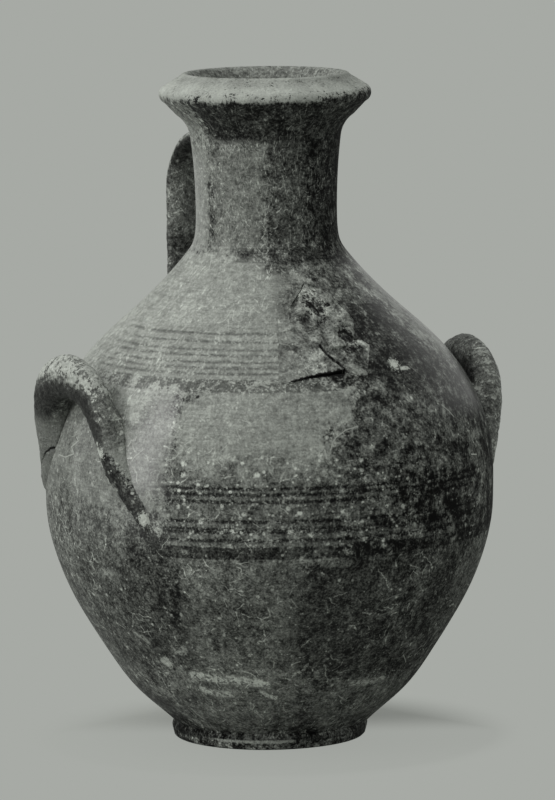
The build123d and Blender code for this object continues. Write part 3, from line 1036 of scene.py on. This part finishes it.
def burnishedClay():
    clay = JarPaint("burnishedClay")
    level, filmAndSheen = wallLevel(clay)
    lines = turnedLines(clay, shoulderLines, 1.15, (-66, 10)) * 0.5
    lines = lines.atLeast(turnedLines(clay, bellyLines, 1.5, (-28, 66)) * 1.25)
    bands = darkBand(clay, "shoulderBand", (-62, 26), worn=0.02) * 0.62
    bands = bands.atLeast(darkBand(clay, "bellyBand", (-28, 80), worn=0.4) * 1.1)
    bands = bands.atLeast(darkBand(clay, "neckBand", (-24, 60), soft=2, worn=0.12) * 0.6)
    level = level.to(level * 0.62 - 0.03, lines.atLeast(bands))
    streaks = clay.grain(clay.stretched(clay.spot, 0.06, 0.06, 0.9), 1.0, 3, 0.6) - 0.5
    level = level + streaks * 0.2 * (filmAndSheen * 0.6 + 0.4)
    level = mottled(clay, level, filmAndSheen)
    banded = clay.area((-28, 42), 6, (116, 170), 8)
    flecks = clay.spots(5.2, 1.7, 0.36, 31.0).atLeast(clay.spots(3.0, 1.0, 0.22, 47.0))
    level = level.to(level + 0.42, flecks * banded * clay.clouds(0, 0, 1, 1).rise(-0.24, -0.04))

    # painted highlight: a pale line round the top of the foot's ring
    footRimHighlight = clay.height.band(4.0, 5.6, 0.5) * clay.side.band(-38, 16, 8)
    level = level.to(0.66 + clay.fine * 0.6, footRimHighlight * clay.clouds(0, 1, 1).rise(-0.26, -0.1) * 0.9)
    footFace = clay.height.fall(3.6, 4.6) * clay.side.band(-60, 44, 14)
    level = level + footFace * (0.17 + clay.clouds(0, 0.6, 0.5, 0.4))
    texture = clay.clouds(0, 0.3, 0.5, 0.7)
    rubbed = clay.grain(clay.shifted(clay.spot, 0, 0, 70), 2.6, 2, 0.7).rise(0.4, 0.56) * 0.85 + 0.1
    marks = [(lightness, clay.blot(side, height, wide, tall, ragged) * (0.95 if lightness > 0.7 else rubbed))
             for side, height, wide, tall, ragged, lightness in blots]
    marks += [(lightness, (clay.fromRoute(route) + clay.clouds(0, 0, 6, 5)).fall(0.6 * width, 1.1 * width) * rubbed)
              for route, width, lightness in smears]
    tone, cover = together(marks)
    level = level.to(texture + tone, cover)
    level = level.to(0.05, clay.gape(gapingCrack))
    tone, cover = together([(lightness, clay.fromRoute(route).fall(0.175, 0.5) * 0.85)
                            for route, lightness in scratches])
    level = level.to(tone, cover)
    relief = clay.clouds(0, 1.2, 0.8, 0.6) - lines * 0.5
    clean = clay.area((-60, -25.5), 1.5, (118, 202), 8)
    gloss = clean.atLeast(clay.area((-130, -56), 4, (265, 318), 5)) * 0.62
    gloss = gloss.atLeast(clay.area((52, 120), 10, (184, 262), 8) * 0.5)
    dull = (clay.side.rise(8, 44) * (1 - clay.height.band(176, 262, 8))).atLeast(clay.height.fall(8, 22))
    return clay.surface(level, 0.52 + filmAndSheen * 0.15 - gloss * 0.15 + dull * 0.4, relief, 0.4, gloss, 0.3)


def mouthClay():
    clay = JarPaint("mouthClay")
    level = wallLevel(clay)[0]
    edge = clay.height + clay.clouds(7, 8, 5, 2)
    under = (edge - clay.side.band(-110, -48, 8) * 7).rise(325.5, 329.0)
    # the dark band under the lip is lighter on the left: painted light and painted reflection from the window
    left = (clay.side.band(-120, -46, 9) + clay.clouds(1, 1.4, 1)).rise(0.3, 0.75)
    level = level.to(0.185 + left * 0.25, under)
    border = clay.height + clay.clouds(0, 6, 4, 3) - clay.side.rise(20, 60) * 3
    chalk = border.rise(347.4, 350.2)
    level = mottled(clay, level, chalk)
    bare = (clay.clouds(0, 0.6, 1, 1) + clay.height.rise(349, 356) * 0.1
            - clay.side.rise(12, 50) * clay.height.fall(351, 356) * 0.18)
    pale = 0.585 + clay.height.band(350, 357, 2) * 0.06 + clay.clouds(0.2, 0.25, 0, 0.3)
    level = level.to(pale, chalk * bare.rise(-0.3, -0.08))
    normal = clay.node("NewGeometry", output="Normal")
    facing = clay.dot(normal, clay.stretched(clay.spot, 1, 1, 0))
    inside = (facing + clay.small * 30).fall(-14, -2)
    # painted shade: the inside is darker deeper down the throat
    rough = 0.5 + clay.clouds(0, 0, 0.6, 0.6) - clay.height.fall(320, 350) * 0.2
    level = level.to(rough.to(0.74, clay.spots(3.4, 0.9, 0.5, 3.0)), inside)
    relief = chalk * clay.fine * 1.5 + clay.clouds(0, 1.2, 0.8)
    dull = clay.side.rise(0, 40) * (1 - chalk)
    return clay.surface(level, 0.55 + chalk * 0.3 + dull * 0.35, relief, 0.5, 0.0, 0.3)


def handleClay(name, left):
    clay = JarPaint(name)
    normal = clay.node("NewGeometry", output="Normal")
    up = clay.parts(normal)[2]
    # painted light: faces of the handle that turn up are lighter
    level = (0.47 if left else 0.37) + up * 0.08 + clay.broad * 0.3
    if not left:
        level = level + clay.height.rise(250, 275) * 0.09
    level = mottled(clay, level, up.rise(2, 3))
    top = up.rise(-0.6, 0.4) * clay.height.rise(186, 208)
    lumps = clay.clouds(0.5, 1.3, 1.6, 1.1) + top * (0.34 if left else 0.05)
    crust = lumps.rise(0.1, 0.22) * up.rise(-0.7, 0.1) * (0.95 if left else 0.4)
    level = level.to(0.62 + clay.clouds(0, 0, 0.4, 0.4), crust)
    # painted shade: faces turned down and to the left are darker, but not the lit top of the arch
    under = clay.dot(normal, roundJar(-90) * 0.75 - Vector((0, 0, 0.66)))
    bright = clay.height.rise(192, 206) * up.rise(-0.35, 0.25)
    level = level.to(0.13 + clay.clouds(0, 0, 0.4, 0.3), under.rise(0.15, 0.6) * (1 - bright) * 0.85)
    if left:
        far = clay.height.fall(174, 186) * clay.side.fall(-68, -60)
        level = level.to(0.43 + clay.clouds(0, 0, 0.3, 0.3), far)
        gap = clay.fromRoute(smearedTail["route"]) + clay.clouds(0, 6, 8, 5)
        wiped = clay.height.fall(164, 178) * clay.side.rise(-70, -58)
        # painted reflection: a lighter strip right of the smear
        reflectionStrip = (clay.side + (clay.height - 164) * -0.372 + 45).rise(-1, 4)  # right of the smear
        # the smear's right flank takes the wall's pale film and painted sheen; its dark ridge is dark crust with
        # painted shade along its lower side
        level = level.to(0.47 + reflectionStrip * 0.09 + clay.clouds(0, 0, 0.3, 0.3), wiped * gap.rise(3.2, 6.0))
        level = level.to(0.2 + clay.clouds(0, 0.6, 0.7, 0.8), wiped * gap.fall(3.2, 6.0) * 0.85)
        specks = clay.spots(4.2, 1.1, 0.55, 9.0) * wiped
        chips = clay.blot(-32.6, 133.6, 2.6, 3.6, 0.7).atLeast(clay.blot(-29.4, 129.4, 3.2, 3.0, 0.9))
        chips = chips.atLeast(clay.blot(-45.8, 168.0, 2.2, 4.0, 0.7)).atLeast(specks)
        level = level.to(0.72 + clay.fine * 0.5, chips)
    split = clay.marked("nearBreak")
    level = level.to(0.06, (split + clay.small * 0.6).rise(0.45, 0.75))
    relief = crust * 1.6 + clay.clouds(0, 1.5, 1, 0.6)
    return clay.surface(level, 0.55 + crust * 0.3, relief, 0.6)


def sherdClay():
    clay = JarPaint("sherdClay")
    edge = clay.marked("brokenEdge")
    flake = clay.marked("flakeHeight")
    # the wall's pale film and painted sheen go on over the left of the patch, which is darker towards the right
    filmAndSheen = clay.side.fall(4, 18) * 0.8
    level = (0.5 + flake * 0.3 + clay.clouds(0.15, 0.2) - clay.side.rise(16, 36) * 0.1
             + clay.side.fall(4, 14) * clay.height.rise(228, 238) * 0.05)
    # painted shade: two hollows in the broken face are darker
    hollowShade = clay.blot(23.5, 241.5, 9, 5.5, 0.6).atLeast(clay.blot(31.5, 224.5, 5.5, 4.5, 0.7))
    level = level.to(0.2 + clay.small * 0.5, hollowShade * 0.8)
    level = mottled(clay, level, filmAndSheen + 0.15)
    facet = clay.marked("facet")
    pale = (facet + clay.clouds(0, 0.9, 1, 0.8)).rise(0.5, 0.9)
    level = level.to(0.53 + clay.clouds(0, 0.3, 0.5, 0.5), pale * 0.8)
    crevice = clay.marked("crevice")
    level = level.to(0.08, (crevice + clay.clouds(0, 0, 0.9, 0.6)).rise(0.45, 0.8))
    level = level.to(0.52, edge.rise(0.35, 0.95) * (clay.fine + 0.5).rise(0.3, 0.5) * 0.5)
    level = level.to(0.05, clay.gape(gapingCrack))
    relief = clay.clouds(0, 2, 1.4, 0.8)
    return clay.surface(level, 0.75, relief, 0.6)


burnished = burnishedClay()
for node, finish in (("foot", burnished), ("lower_wall", burnished), ("neck", burnished), ("mouth", mouthClay())):
    line, closed = lines[node]
    shown = spun(node + "Clay", line, closed, footMade if node == "foot" else handMade)
    dress(shown, node, finish)
print("thrown pieces spun")

line, closed = lines["upper_wall"]
shoulder = spun("upperWallClay", line, closed, handMade)
hole = raggedOutline(patchEdge)
cutWith(shoulder, prism("hole", hole, patch["depth"]), "DIFFERENCE")
dress(shoulder, "upper_wall", burnished)
print("hole broken")

sherdFinish = sherdClay()
for node, settings in sherds.items():
    sherdPiece(node, settings, sherdFinish)
print("sherds set")

crustedHandle, darkHandle = handleClay("crustedHandle", True), handleClay("darkHandle", False)
for node in ("left_handle", "left_handle_root", "right_handle", "back_handle"):
    rolledPiece(node, crustedHandle if node.startswith("left") else darkHandle)
print("handles rolled")
